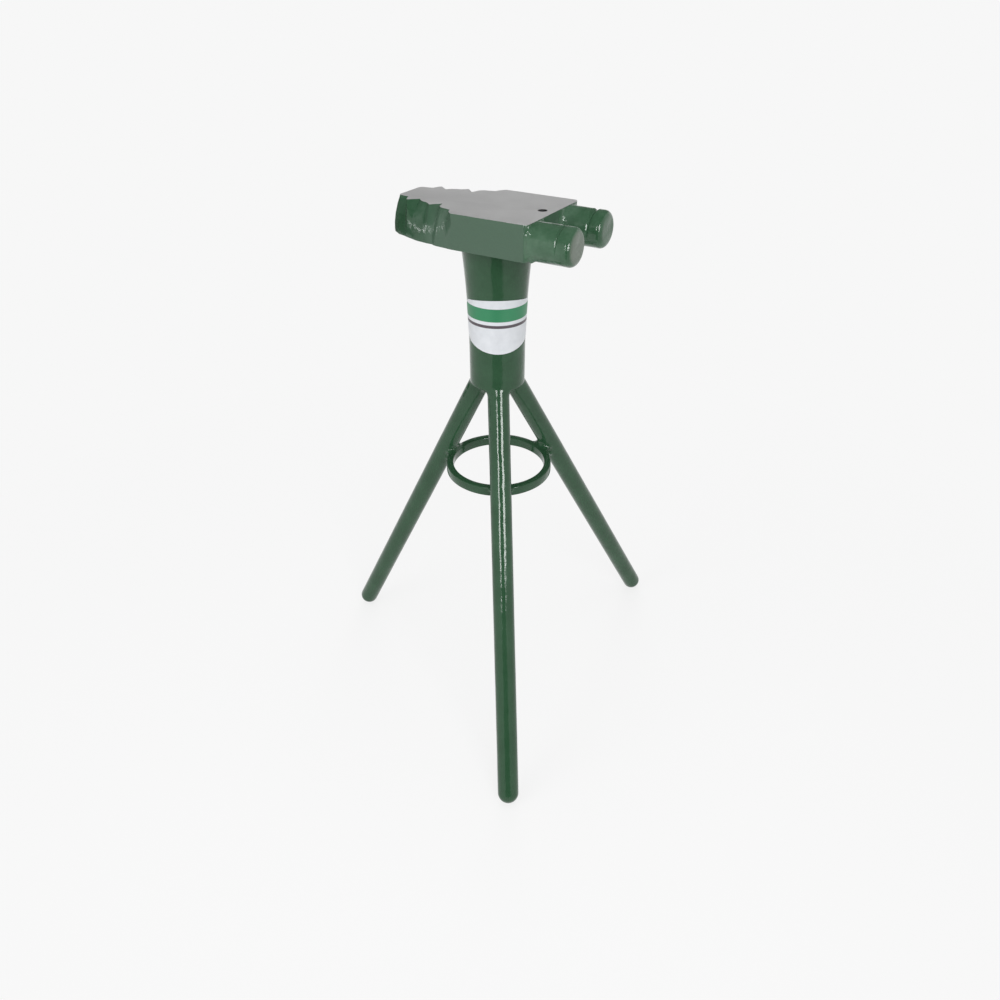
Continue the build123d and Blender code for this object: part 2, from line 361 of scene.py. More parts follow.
def make_label_finish():
    """Off-white vinyl with two plain level bands."""
    g = Graph("label_vinyl")
    height = g.add("ShaderNodeSeparateXYZ", {"Vector": g.place}).outputs["Z"]
    colour = g.ramp(g.noise(150, 3), ((0.3, VINYL_DARK), (0.7, VINYL_LIGHT)))
    for (low, high), ink in ((GREEN_BAND, GREEN_INK), (DARK_BAND, DARK_INK)):
        above = g.grey(height, low, low + BAND_EDGE)
        below = g.grey(height, high, high + BAND_EDGE, 1.0, 0.0)
        colour = g.mix(g.math("MULTIPLY", above, below), colour, ink)
    links = {
        "Base Color": colour,
        "Roughness": g.grey(g.noise(90, 2), *MOST_OF_NOISE, *VINYL_ROUGH),
        "Normal": g.bump(g.noise(260, 2), VINYL_BUMP),
    }
    return g.finish(g.add("ShaderNodeBsdfPrincipled", links))


label_finish = make_label_finish()
print("made", label_finish.name)

# %% [markdown]
# Pieces are shaped in bmesh and then turned into objects that sit at the origin. The helper
# merges doubles, points the faces outwards, sets smooth shading with crisp edges past an angle,
# gives the piece its material and hides the solids that it stands for.


# %% Piece helper
def keep_piece(bm, name, material, nodes, crisp=35):
    """Turn a bmesh into a finished piece of the stand."""
    bmesh.ops.remove_doubles(bm, verts=bm.verts, dist=1e-6)
    bmesh.ops.recalc_face_normals(bm, faces=bm.faces)
    mesh = bpy.data.meshes.new(name)
    bm.to_mesh(mesh)
    bm.free()
    mesh.polygons.foreach_set("use_smooth", [True] * len(mesh.polygons))
    mesh.set_sharp_from_angle(angle=math.radians(crisp))
    piece = bpy.data.objects.new(name, mesh)
    bpy.context.scene.collection.objects.link(piece)
    piece.data.materials.append(material)
    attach(piece, "root")
    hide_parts(*nodes)
    print(name, len(mesh.polygons), "faces")
    return piece


def solid_copy(node):
    """A bmesh copy of a frame solid, with its loose triangles merged."""
    bm = bmesh.new()
    bm.from_mesh(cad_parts[node].data)
    bmesh.ops.remove_doubles(bm, verts=bm.verts, dist=2e-6)
    return bm


def spun(points, axis_matrix, steps):
    """Turn a profile of (radius, height) points about Z and place it with a matrix."""
    bm = bmesh.new()
    verts = [bm.verts.new((radius, 0, height)) for radius, height in points]
    edges = [bm.edges.new(pair) for pair in zip(verts, verts[1:])]
    bmesh.ops.spin(
        bm,
        geom=verts + edges,
        cent=(0, 0, 0),
        axis=(0, 0, 1),
        dvec=(0, 0, 0),
        angle=2 * math.pi,
        steps=steps,
        use_merge=True,
        use_duplicate=False,
    )
    bmesh.ops.remove_doubles(bm, verts=bm.verts, dist=1e-6)
    bmesh.ops.transform(bm, matrix=axis_matrix, verts=bm.verts)
    return bm


def arc(centre, radius, start, stop, count):
    """Points on an arc in the (radius, height) plane, angles in degrees."""
    points = []
    for index in range(count + 1):
        angle = math.radians(start + (stop - start) * index / count)
        points.append((centre[0] + radius * math.cos(angle), centre[1] + radius * math.sin(angle)))
    return points


def waves(bm, depth, size, seed):
    """Sink each vertex a little along its normal, on smooth noise, and never lift it."""
    bmesh.ops.recalc_face_normals(bm, faces=bm.faces)
    bm.normal_update()
    shift = Vector((seed, 2 * seed, 3 * seed))
    moves = [v.normal * depth * (noise.noise(v.co / size + shift) - 1) / 2 for v in bm.verts]
    for vert, move in zip(bm.verts, moves):
        vert.co += move


print("piece helpers ready")

# %% [markdown]
# The head is copied from its solid, because its notched outline is exact there. Flat faces are
# joined up again, and then every real edge gets a small rounded bevel. Without it the edges
# would be sharper than any steel block under paint, and would catch no light.

# %% Head
HEAD_EDGE = 0.0011
FACET_ANGLE = 1.5
EDGE_ANGLE = 24


def make_head():
    """Round the edges of the notched head."""
    bm = solid_copy("head_block")
    bmesh.ops.dissolve_limit(
        bm,
        angle_limit=math.radians(FACET_ANGLE),
        verts=bm.verts,
        edges=bm.edges,
        use_dissolve_boundaries=False,
    )
    sharp = [e for e in bm.edges if e.is_manifold and e.calc_face_angle() > math.radians(EDGE_ANGLE)]
    bmesh.ops.bevel(
        bm,
        geom=sharp,
        offset=HEAD_EDGE,
        offset_type="OFFSET",
        affect="EDGES",
        segments=3,
        profile=0.5,
        material=-1,
        clamp_overlap=True,
    )
    return bm


head = keep_piece(make_head(), "head", head_finish, ["head_block"], crisp=50)

# %% [markdown]
# The post is turned from a profile: a rounded rim at the foot, a straight stretch and a long
# flare up to the head. A spin makes it in one go. A stretched cone would give the flare a kink
# at its foot, where the real one bends smoothly, so the flare is one arc that starts upright.

# %% Post
POST_LOW, POST_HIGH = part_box("column")
FOOT_RADIUS = 0.028
FLARE_LENGTH = 0.108
TOP_RIM = 0.004
RIM_ROUND = 0.0018
TOP_RADIUS = POST_HIGH.x
POST_RINGS = 48
POST_STEPS = 96


def post_radius(height):
    """The post's radius at a height, straight below the flare and on one arc above."""
    rise = min(max(0.0, height - (POST_HIGH.z - TOP_RIM - FLARE_LENGTH)), FLARE_LENGTH)
    gain = TOP_RADIUS - FOOT_RADIUS
    bend = (FLARE_LENGTH**2 + gain**2) / (2 * gain)
    return FOOT_RADIUS + bend - math.sqrt(bend**2 - rise**2)


def make_post():
    """Spin the post's profile."""
    foot = POST_LOW.z
    rim = arc((FOOT_RADIUS - RIM_ROUND, foot + RIM_ROUND), RIM_ROUND, -90, 0, 6)
    tall = POST_HIGH.z - foot - RIM_ROUND
    heights = [foot + RIM_ROUND + tall * i / POST_RINGS for i in range(1, POST_RINGS + 1)]
    side = [(post_radius(h), h) for h in heights]
    return spun([(0.0, foot)] + rim + side + [(0.0, POST_HIGH.z)], Matrix.Identity(4), POST_STEPS)


post = keep_piece(make_post(), "post", bar_enamel, ["column"])

# %% [markdown]
# Each leg is a round bar with a ball end. Its place is read from the frame: the lowest point of
# the solid is the floor, so the middle of the ball is one bar radius up and in. Extra rings
# along the bar let slow noise bend its outline by a hair, as brushed paint does.

# %% Legs
LEG_RADIUS = 0.0111
LEG_TOP_OUT = 0.0175
LEG_SINK = 0.010
LEG_RINGS = 60
LEG_STEPS = 48
LEG_WAVE = 0.00016
LEG_WAVE_LENGTH = 0.02


def leg_line(node):
    """The middle of a leg's ball end and of its level top."""
    low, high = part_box(node)
    foot = Vector((0, 0, LEG_RADIUS))
    foot.x = high.x - LEG_RADIUS if abs(high.x) > abs(low.x) else low.x + LEG_RADIUS
    foot.y = high.y - LEG_RADIUS if abs(high.y) > abs(low.y) else low.y + LEG_RADIUS
    out = Vector((foot.x, foot.y, 0)).normalized()
    return foot, out * LEG_TOP_OUT + UP * POST_LOW.z


def make_leg(node, seed):
    """Spin one leg and lay it along its line."""
    foot, top = leg_line(node)
    along = (top - foot).normalized()
    length = (top - foot).length + LEG_SINK
    ball = arc((0.0, 0.0), LEG_RADIUS, -90, 0, 10)
    shaft = [(LEG_RADIUS, length * i / LEG_RINGS) for i in range(1, LEG_RINGS + 1)]
    placed = Matrix.Translation(foot) @ along.to_track_quat("Z", "Y").to_matrix().to_4x4()
    bm = spun(ball + shaft + [(0.0, length)], placed, LEG_STEPS)
    waves(bm, LEG_WAVE, LEG_WAVE_LENGTH, seed)
    return bm


legs = {}
for seed, node in enumerate(("near_leg", "far_leg", "nose_leg"), 1):
    legs[node] = keep_piece(make_leg(node, seed), f"{node}_bar", bar_enamel, [node])

# %% [markdown]
# The brace ring is a slice of thick pipe. An upright section with rounded corners is spun round
# the ring's own middle, which the frame gives. The real rim is cut out round the nose leg. Here
# the leg simply fills that place, and the weld covers the join.

# %% Brace ring
RING_LOW, RING_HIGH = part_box("brace_ring")
RING_WALL = 0.00755
RING_EDGE = 0.0012
RING_STEPS = 144
RING_WAVE = 0.00020
RING_WAVE_LENGTH = 0.015
RING_SEED = 7


def make_ring():
    """Spin the ring's section round its middle."""
    outer = (RING_HIGH.y - RING_LOW.y) / 2
    inner = outer - RING_WALL
    low, high = RING_LOW.z, RING_HIGH.z
    e = RING_EDGE
    section = (
        arc((outer - e, high - e), e, 90, 0, 4)
        + arc((outer - e, low + e), e, 0, -90, 4)
        + arc((inner + e, low + e), e, 270, 180, 4)
        + arc((inner + e, high - e), e, 180, 90, 4)
    )
    middle = Vector(((RING_HIGH.x + RING_LOW.x) / 2, (RING_HIGH.y + RING_LOW.y) / 2, 0))
    bm = spun(section + section[:1], Matrix.Translation(middle), RING_STEPS)
    waves(bm, RING_WAVE, RING_WAVE_LENGTH, RING_SEED)
    return bm


ring = keep_piece(make_ring(), "brace_ring_painted", bar_enamel, ["brace_ring"])

# %% [markdown]
# The prongs are short round bars with well rounded ends. Each has a groove cut over its top
# that runs out down its sides, as if a grinding wheel had been rolled over it. The bar is spun
# with close rings where the groove comes, and its skin is then pressed in to the groove's floor.
# Cutting the groove with a second shape would leave long thin faces that shade badly.

# %% Prongs
PRONG_ROUND = 0.0055
PRONG_STEPS = 96
PRONG_DENT = 0.00030
PRONG_DENT_LENGTH = 0.012
GROOVE_RUN_OUT = 0.6
GROOVE_ROUND = 0.0064
GROOVE_HALF_RINGS = 12
PRONG_CUTS = {
    "near_prong": {"setback": 0.0135, "width": 0.0034, "depth": 0.0018, "seed": 11},
    "far_prong": {"setback": 0.0132, "width": 0.0060, "depth": 0.0028, "seed": 12},
}


def make_prong(node, setback, width, depth, seed):
    """Spin one prong about its own axis and press in a groove at a distance from its end."""
    low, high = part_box(node)
    radius = (high.z - low.z) / 2
    reach = high.x - low.x
    groove = reach - setback
    fine = [groove + width * (i / GROOVE_HALF_RINGS - 1) for i in range(2 * GROOVE_HALF_RINGS + 1)]
    straight = [groove * i / 8 for i in range(1, 7)] + fine
    profile = [(0.0, 0.0), (radius, 0.0)] + [(radius, at) for at in straight]
    profile += arc((radius - PRONG_ROUND, reach - PRONG_ROUND), PRONG_ROUND, 0, 90, 8)
    profile += [((radius - PRONG_ROUND) * (1 - i / 4), reach) for i in range(1, 5)]
    turn = Vector((1, 0, 0)).to_track_quat("Z", "Y").to_matrix().to_4x4()
    middle = Vector((low.x, (low.y + high.y) / 2, (low.z + high.z) / 2))
    bm = spun(profile, Matrix.Translation(middle) @ turn, PRONG_STEPS)
    drop = depth * GROOVE_RUN_OUT
    floor_radius = radius - depth + drop
    for vert in bm.verts:
        off = abs(vert.co.x - middle.x - groove)
        spoke = Vector((0, vert.co.y - middle.y, vert.co.z - middle.z + drop))
        wall = floor_radius + 2 * depth * math.sqrt((off / width) ** 2 + GROOVE_ROUND)
        if off < width and spoke.length > wall:
            vert.co -= spoke * (1 - wall / spoke.length)
    waves(bm, PRONG_DENT, PRONG_DENT_LENGTH, seed)
    return bm


prongs = {}
for node, cut in PRONG_CUTS.items():
    prongs[node] = keep_piece(make_prong(node, **cut), f"{node}_bar", prong_enamel, [node])

# %% [markdown]
# A weld under thick paint is a soft hollow between two pieces, with the welder's drops showing
# through. It is made the way that a painter would fill a corner: each piece is first grown by
# the hollow's radius, the grown pieces and the drops are melted into one skin on a fine grid,
# and the skin is then shrunk back by the same amount. Flat and round surfaces come back to
# where they were, but corners stay filled. A bevel can't do this, because the pieces are
# separate solids that only touch. The skin lies a hair above the paint, so its cut ends are
# sunk just below it, where they can't be seen.

# %% Weld helpers
SKIN_LIFT = 0.00007
END_WASTE = 0.0025
END_FADE = 0.004
END_SINK = 3 * SKIN_LIFT
SHRINK_STEPS = 8
DROP_SIZES = (0.7, 1.2)
DROP_NUDGE = 0.3


def grow(bm, amount):
    """Move every vertex out along its normal, so that each face moves by the amount."""
    bm.normal_update()
    moves = [v.normal * amount * v.calc_shell_factor() for v in bm.verts]
    for vert, move in zip(bm.verts, moves):
        vert.co += move


def keep_box(bm, centre, reach):
    """Cut away what lies outside a box and close the cuts."""
    for axis in range(3):
        for side in (-1, 1):
            normal = Vector((0, 0, 0))
            normal[axis] = side
            at = centre + normal * reach[axis]
            everything = bm.verts[:] + bm.edges[:] + bm.faces[:]
            made = bmesh.ops.bisect_plane(
                bm, geom=everything, dist=1e-7, plane_co=at, plane_no=normal, clear_outer=True
            )
            rim = [e for e in made["geom_cut"] if isinstance(e, bmesh.types.BMEdge)]
            if rim:
                bmesh.ops.triangle_fill(bm, edges=rim, use_beauty=True, use_dissolve=False)
    bmesh.ops.recalc_face_normals(bm, faces=bm.faces)


def add_slice(bm, source, centre, reach, amount):
    """Add the grown part of a piece that lies within a box round a centre."""
    cut = bmesh.new()
    cut.from_mesh(source)
    keep_box(cut, centre, reach)
    grow(cut, amount)
    part = bpy.data.meshes.new("slice")
    cut.to_mesh(part)
    cut.free()
    bm.from_mesh(part)
    bpy.data.meshes.remove(part)


def add_drops(bm, places, size, amount, seed):
    """Add a chain of grown balls at the places, each a little different in size."""
    drops = random.Random(seed)
    for place in places:
        radius = size * drops.uniform(*DROP_SIZES) + amount
        nudge = Vector([drops.uniform(-1, 1) for _ in range(3)]) * size * DROP_NUDGE
        matrix = Matrix.Translation(place + nudge)
        bmesh.ops.create_uvsphere(bm, u_segments=20, v_segments=12, radius=radius, matrix=matrix)


def voxel_skin(bm, voxel):
    """Remesh a bmesh on a fine grid, which melts everything in it into one closed skin."""
    mesh = bpy.data.meshes.new("melt")
    bm.to_mesh(mesh)
    bm.free()
    rough = bpy.data.objects.new("melt", mesh)
    bpy.context.scene.collection.objects.link(rough)
    remesh = rough.modifiers.new("remesh", "REMESH")
    remesh.mode = "VOXEL"
    remesh.voxel_size = voxel
    solid = bpy.data.meshes.new_from_object(rough.evaluated_get(bpy.context.evaluated_depsgraph_get()))
    bpy.data.objects.remove(rough)
    bpy.data.meshes.remove(mesh)
    skin = bmesh.new()
    skin.from_mesh(solid)
    bpy.data.meshes.remove(solid)
    return skin


def soften(bm, rounds):
    """Smooth a skin a number of times."""
    for _ in range(rounds):
        bmesh.ops.smooth_vert(
            bm, verts=bm.verts, factor=0.5, use_axis_x=True, use_axis_y=True, use_axis_z=True
        )


def melted(bm, voxel, amount, rounds, centre, reach):
    """Melt grown shapes into one skin, shrink it back, cut off its swollen ends and sink the cuts."""
    skin = voxel_skin(bm, voxel)
    for _ in range(SHRINK_STEPS):
        soften(skin, 1)
        skin.normal_update()
        moves = [v.normal * (amount - SKIN_LIFT) / SHRINK_STEPS for v in skin.verts]
        for vert, move in zip(skin.verts, moves):
            vert.co -= move
    skin = voxel_skin(skin, voxel)
    soften(skin, rounds)
    ends = [far - amount - END_WASTE for far in reach]
    keep_box(skin, centre, ends)
    skin.normal_update()
    sinks = []
    for vert in skin.verts:
        room = min(ends[axis] - abs(vert.co[axis] - centre[axis]) for axis in range(3))
        sinks.append(vert.normal * END_SINK * max(0.0, 1 - room / END_FADE))
    for vert, sink in zip(skin.verts, sinks):
        vert.co -= sink
    return skin


print("weld helpers ready")

# %% [markdown]
# The legs run up into the foot of the post, and the paint and weld between them are so thick
# that no line is left on the outside. The crotch between two legs was filled with weld, so two
# large drops go there before everything is melted together.

# %% Welds at the legs' tops
WELD_CRISP = 80
TOP_HOLLOW = 0.0052
TOP_VOXEL = 0.0007
TOP_ROUNDS = 8
TOP_MIDDLE_DROP = 0.010
TOP_REACH = Vector((0.08, 0.08, 0.046))
WEB_DROP = 0.0050
WEB_OUTS = (0.008, 0.012)
WEB_SIZE = 0.0046


def make_top_welds():
    """Melt the leg tops and the foot of the post together."""
    bm = bmesh.new()
    centre = Vector((0, 0, POST_LOW.z - TOP_MIDDLE_DROP))
    add_slice(bm, post.data, centre, TOP_REACH, TOP_HOLLOW)
    for bar in legs.values():
        add_slice(bm, bar.data, centre, TOP_REACH, TOP_HOLLOW)
    outs = [Vector((foot.x, foot.y, 0)).normalized() for foot, top in map(leg_line, legs)]
    for seed, pair in enumerate(((0, 1), (1, 2), (2, 0)), 21):
        between = (outs[pair[0]] + outs[pair[1]]).normalized()
        places = [between * out + UP * (POST_LOW.z - WEB_DROP) for out in WEB_OUTS]
        add_drops(bm, places, WEB_SIZE, TOP_HOLLOW, seed)
    return melted(bm, TOP_VOXEL, TOP_HOLLOW, TOP_ROUNDS, centre, TOP_REACH)


keep_piece(
    make_top_welds(),
    "leg_top_welds",
    bar_enamel,
    ["near_leg_weld", "far_leg_weld", "nose_leg_weld"],
    WELD_CRISP,
)

# %% [markdown]
# The ring is welded to each leg where its rim touches the bar. The drops run across the bar on
# the ring's top and underside, a larger one fills the wedge at each side of the bar, and the
# hollow rounds what is left between rim and bar.

# %% Welds at the ring
RING_WELD_SIZE = 0.0015
RING_HOLLOW = 0.0034
RING_FILL_SIZE = 0.0030
RING_FILL_ACROSS = 0.0085
RING_FILL_OUT = 0.0015
RING_DROP_STEP = 0.0026
RING_DROP_BEND = 0.00022
RING_VOXEL = 0.0006
RING_ROUNDS = 6
RING_REACH = Vector((0.036, 0.036, 0.020))
RING_WELD_SEEDS = {"near_leg": 31, "far_leg": 34, "nose_leg": 37}


def make_ring_weld(node, seed):
    """Melt the ring, one leg and the drops between them."""
    foot, top = leg_line(node)
    middle_z = (RING_LOW.z + RING_HIGH.z) / 2
    centre = foot + (top - foot) * (middle_z - foot.z) / (top.z - foot.z)
    out = Vector((centre.x, centre.y, 0)).normalized()
    across = UP.cross(out)
    lean = out.dot(foot - top) / (top.z - foot.z)
    rim = centre - out * LEG_RADIUS * math.sqrt(1 + lean**2)
    bm = bmesh.new()
    add_slice(bm, ring.data, rim, RING_REACH, RING_HOLLOW)
    add_slice(bm, legs[node].data, rim, RING_REACH, RING_HOLLOW)
    half = (RING_HIGH.z - RING_LOW.z) / 2
    for side in (-1, 1):
        places = []
        for index in range(-3, 4):
            wide = index * RING_DROP_STEP
            lift = side * half
            back = RING_DROP_BEND * index * index - lean * lift
            places.append(rim + across * wide + out * back + UP * lift)
        add_drops(bm, places, RING_WELD_SIZE, RING_HOLLOW, seed + side)
    fills = []
    for aside in (-RING_FILL_ACROSS, RING_FILL_ACROSS):
        fills.append(rim + across * aside + out * RING_FILL_OUT + UP * half)
    add_drops(bm, fills, RING_FILL_SIZE, RING_HOLLOW, seed + 2)
    return melted(bm, RING_VOXEL, RING_HOLLOW, RING_ROUNDS, rim, RING_REACH)


for node, seed in RING_WELD_SEEDS.items():
    bm = make_ring_weld(node, seed)
    keep_piece(bm, f"{node}_ring_tack", bar_enamel, [f"{node}_ring_weld"], WELD_CRISP)

# %% [markdown]
# A narrow bead runs round the top of the post under the head. Round the root of each prong the
# bead is rough, because it was laid by hand in the corner between the bar and the end face.

# %% Welds at the head
HEAD_HOLLOW = 0.0022
HEAD_VOXEL = 0.0008
HEAD_ROUNDS = 4
HEAD_REACH = Vector((0.056, 0.056, 0.012))
DISC_SPARE = 0.003
DISC_DEPTH = 0.014
PRONG_HOLLOW = 0.0016
PRONG_VOXEL = 0.0006
PRONG_ROUNDS = 2
PRONG_REACH = 0.009
PRONG_MARGIN = 0.010
PRONG_WELD_SIZE = 0.0019
BEAD_COUNT = 30
BEAD_OUT = 0.0004
BEAD_TOP_GAP = 0.004
BEAD_SIDE_GAP = 0.001
BEAD_INSET = 0.0004
BEAD_SEEDS = {"near_prong": 51, "far_prong": 52}


def make_head_weld():
    """Melt the top of the post and the underside of the head together."""
    bm = bmesh.new()
    centre = Vector((0, 0, POST_HIGH.z))
    add_slice(bm, post.data, centre, HEAD_REACH, HEAD_HOLLOW)
    wide = TOP_RADIUS + DISC_SPARE
    disc = bmesh.ops.create_cone(
        bm, cap_ends=True, segments=96, radius1=wide, radius2=wide, depth=DISC_DEPTH
    )
    lift = POST_HIGH.z + DISC_DEPTH / 2 - HEAD_HOLLOW
    bmesh.ops.translate(bm, verts=disc["verts"], vec=(0, 0, lift))
    return melted(bm, HEAD_VOXEL, HEAD_HOLLOW, HEAD_ROUNDS, centre, HEAD_REACH)


def make_prong_weld(node, bar, seed):
    """Melt a prong's root and the head's end face together, with rough drops between them."""
    low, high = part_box(node)
    radius = (high.z - low.z) / 2
    middle = Vector((low.x, (low.y + high.y) / 2, (low.z + high.z) / 2))
    bm = bmesh.new()
    reach = Vector((PRONG_REACH, radius + PRONG_MARGIN, radius + PRONG_MARGIN))
    add_slice(bm, head.data, middle, reach, PRONG_HOLLOW)
    add_slice(bm, bar.data, middle, reach, PRONG_HOLLOW)
    places = []
    for index in range(BEAD_COUNT):
        angle = 2 * math.pi * index / BEAD_COUNT
        spoke = Vector((BEAD_OUT, math.cos(angle), math.sin(angle)))
        place = middle + Vector((BEAD_OUT, spoke.y * radius, spoke.z * radius))
        level = HEAD_LOW.z < place.z < HEAD_TOP - BEAD_TOP_GAP
        if level and abs(place.y) < HEAD_HIGH.y - BEAD_SIDE_GAP:
            places.append(place)
    add_drops(bm, places, PRONG_WELD_SIZE, PRONG_HOLLOW, seed)
    skin = melted(bm, PRONG_VOXEL, PRONG_HOLLOW, PRONG_ROUNDS, middle, reach)
    for vert in skin.verts:
        vert.co.z = min(vert.co.z, HEAD_TOP - BEAD_INSET)
        if vert.co.x < middle.x:
            side = HEAD_HIGH.y - BEAD_INSET
            vert.co.y = max(-side, min(side, vert.co.y))
            vert.co.z = max(vert.co.z, HEAD_LOW.z + BEAD_INSET)
    return skin


keep_piece(make_head_weld(), "post_top_weld", bar_enamel, ["head_weld"], WELD_CRISP)
for node, seed in BEAD_SEEDS.items():
    bm = make_prong_weld(node, prongs[node], seed)
    keep_piece(bm, f"{node}_bead", prong_enamel, [f"{node}_weld"], WELD_CRISP)

# %% [markdown]
# The label starts as a flat grid. Each column of the grid is squeezed between the label's lower
# and upper edge, so the outline gets its round corners and curved bottom, and then the sheet is
# bent round the post and given its thickness.

# %% Label
LABEL_HALF = 0.0425
LABEL_TURN = math.atan2(leg_line("near_leg")[0].y, leg_line("near_leg")[0].x)
LABEL_CROWN = 0.0065
LABEL_BELLY = 0.0115
LABEL_CORNER = 0.010
LABEL_CORNER_FOOT = 0.8
LABEL_STAND_OFF = 0.0003
LABEL_SHEET = 0.0002
LABEL_COLUMNS = 96
LABEL_ROWS = 40


def label_edge(across, top):
    """Height of the label's upper or lower edge at a distance from its middle."""
    share = abs(across) / LABEL_HALF
    curve = 1 - math.cos(share * math.pi / 2)
    inset = max(0.0, abs(across) - (LABEL_HALF - LABEL_CORNER))
    corner = LABEL_CORNER - math.sqrt(max(0.0, LABEL_CORNER**2 - inset**2))
    if top:
        return LABEL_HIGH.z - LABEL_CROWN * curve - corner
    return LABEL_LOW.z + LABEL_BELLY * curve + corner * LABEL_CORNER_FOOT


def make_label():
    """Bend a shaped grid round the post and thicken it."""
    bm = bmesh.new()
    bmesh.ops.create_grid(bm, x_segments=LABEL_COLUMNS, y_segments=LABEL_ROWS, size=1.0)
    for vert in bm.verts:
        across = vert.co.x * LABEL_HALF
        rise = (vert.co.y + 1) / 2
        height = label_edge(across, False) * (1 - rise) + label_edge(across, True) * rise
        radius = post_radius(height) + LABEL_STAND_OFF
        angle = LABEL_TURN + across / FOOT_RADIUS
        vert.co = Vector((math.cos(angle) * radius, math.sin(angle) * radius, height))
    bmesh.ops.recalc_face_normals(bm, faces=bm.faces)
    bmesh.ops.solidify(bm, geom=bm.faces[:], thickness=LABEL_SHEET)
    return bm


keep_piece(make_label(), "label_sheet", label_finish, ["blank_label"], crisp=60)

# %% [markdown]
# The stage is a plain pale floor and a pale world. To the camera and in reflections both show
# the same near white, so the far edge of the floor can't be seen, while the floor near the
# stand is partly a real matt surface and keeps its shadow. A white room of real walls would
# show the same, but its walls would also throw more light on the stand.

# %% Floor and world
FLOOR_HALF = 40.0
PALE = 0.93
SHOWN = rgba(PALE, PALE, PALE)
SHADOW_REACH = (0.35, 0.9)
SHOWN_SHARE = (0.84, 1.0)
WORLD_LIGHT = 0.40


def seen_rays(path, join):
    """A socket that is 1 for the camera's and the reflections' rays and 0 for all others."""
    return join("MAXIMUM", path.outputs["Is Camera Ray"], path.outputs["Is Glossy Ray"])


def make_floor():
    """A large plain floor that keeps the shadow near the stand and fades into the backdrop."""
    bm = bmesh.new()
    bmesh.ops.create_grid(bm, x_segments=1, y_segments=1, size=FLOOR_HALF)
    mesh = bpy.data.meshes.new("floor")
    bm.to_mesh(mesh)
    bm.free()
    floor = bpy.data.objects.new("floor", mesh)
    bpy.context.scene.collection.objects.link(floor)
    g = Graph("floor_pale")
    matt = g.add("ShaderNodeBsdfDiffuse", {"Color": SHOWN})
    plain = g.add("ShaderNodeEmission", {"Color": SHOWN, "Strength": 1.0})
    away = g.add("ShaderNodeVectorMath", {0: g.place}, operation="LENGTH").outputs["Value"]
    share = g.grey(away, *SHADOW_REACH, *SHOWN_SHARE)
    shown = g.math("MULTIPLY", seen_rays(g.add("ShaderNodeLightPath"), g.math), share)
    both = g.add("ShaderNodeMixShader", {0: shown, 1: matt.outputs[0], 2: plain.outputs[0]})
    mesh.materials.append(g.finish(both))


def make_world():
    """A pale world that the camera and reflections see as the backdrop's colour."""
    world = bpy.data.worlds.new("pale_world")
    world.use_nodes = True
    bpy.context.scene.world = world
    tree = world.node_tree
    tree.nodes.clear()
    output = tree.nodes.new("ShaderNodeOutputWorld")
    plain = tree.nodes.new("ShaderNodeBackground")
    seen = tree.nodes.new("ShaderNodeBackground")
    plain.inputs[0].default_value = rgba(1.0, 1.0, 1.0)
    plain.inputs[1].default_value = WORLD_LIGHT
    seen.inputs[0].default_value = SHOWN
    seen.inputs[1].default_value = 1.0
    mixer = tree.nodes.new("ShaderNodeMixShader")

    def join(operation, first, second):
        node = tree.nodes.new("ShaderNodeMath")
        node.operation = operation
        tree.links.new(first, node.inputs[0])
        tree.links.new(second, node.inputs[1])
        return node.outputs[0]

    shown = seen_rays(tree.nodes.new("ShaderNodeLightPath"), join)
    tree.links.new(shown, mixer.inputs[0])
    tree.links.new(plain.outputs[0], mixer.inputs[1])
    tree.links.new(seen.outputs[0], mixer.inputs[2])
    tree.links.new(mixer.outputs[0], output.inputs["Surface"])


make_floor()
make_world()
print("floor and world ready")

# %% [markdown]
# Glossy enamel shows mostly what it mirrors, so a studio puts dark cloth and bright cards round
# a shiny tool. Five dark screens draw the dark bands on the bars: on the floor in front, upright
# in front, at the left, behind and overhead. Two tall bright cards draw the pair of streaks on
# the front leg, and two small ones the glints on the nose. Only reflections see them, so they
# light nothing and cast no shadow. Turns are counted in degrees from the camera's side.

# %% Screens and cards
CARD_GLOW = 20.0
CLOTH_DARK = rgba(0.10, 0.10, 0.10)
CLOTH_LIGHT = rgba(0.14, 0.14, 0.14)
NOSE = (-0.09, -0.025)
FLOOR_SCREEN = {"turn": 20, "near": 0.46, "far": 1.3, "height": 0.002}
SCREENS = {
    "front_screen": {"first": -20, "last": 20, "out": 1.3, "low": 0.0, "high": 1.6},
    "left_screen": {"first": -155, "last": -100, "out": 1.6, "low": 0.1, "high": 1.3},
    "back_screen": {"first": 135, "last": 225, "out": 1.7, "low": 0.8, "high": 1.4},
}
TOP_SCREEN_OUT = 2.0
TOP_SCREEN_HEIGHT = 1.35
CARDS = {
    "right_card": {"turn": 30, "out": 1.25, "width": 0.42, "low": 0.54, "high": 1.08},
    "left_card": {"turn": -20, "out": 1.25, "width": 0.22, "low": 0.54, "high": 1.08},
    "nose_card": {"turn": -59, "out": 0.4, "width": 0.018, "low": 0.635, "high": 0.670, "centre": NOSE},
    "tip_card": {"turn": -86, "out": 0.4, "width": 0.022, "low": 0.570, "high": 0.610, "centre": NOSE},
}


def polar(turn, out, height, centre=(0.0, 0.0)):
    """A place at a turn in degrees from the camera's side, a distance out and a height up."""
    angle = math.atan2(CAMERA_PLACE.y, CAMERA_PLACE.x) + math.radians(turn)
    return Vector((centre[0] + out * math.cos(angle), centre[1] + out * math.sin(angle), height))


def standing(first, last, out, low, high, centre=(0.0, 0.0)):
    """The corners of an upright card between two turns and two heights."""
    pairs = ((first, low), (last, low), (last, high), (first, high))
    return [polar(turn, out, height, centre) for turn, height in pairs]


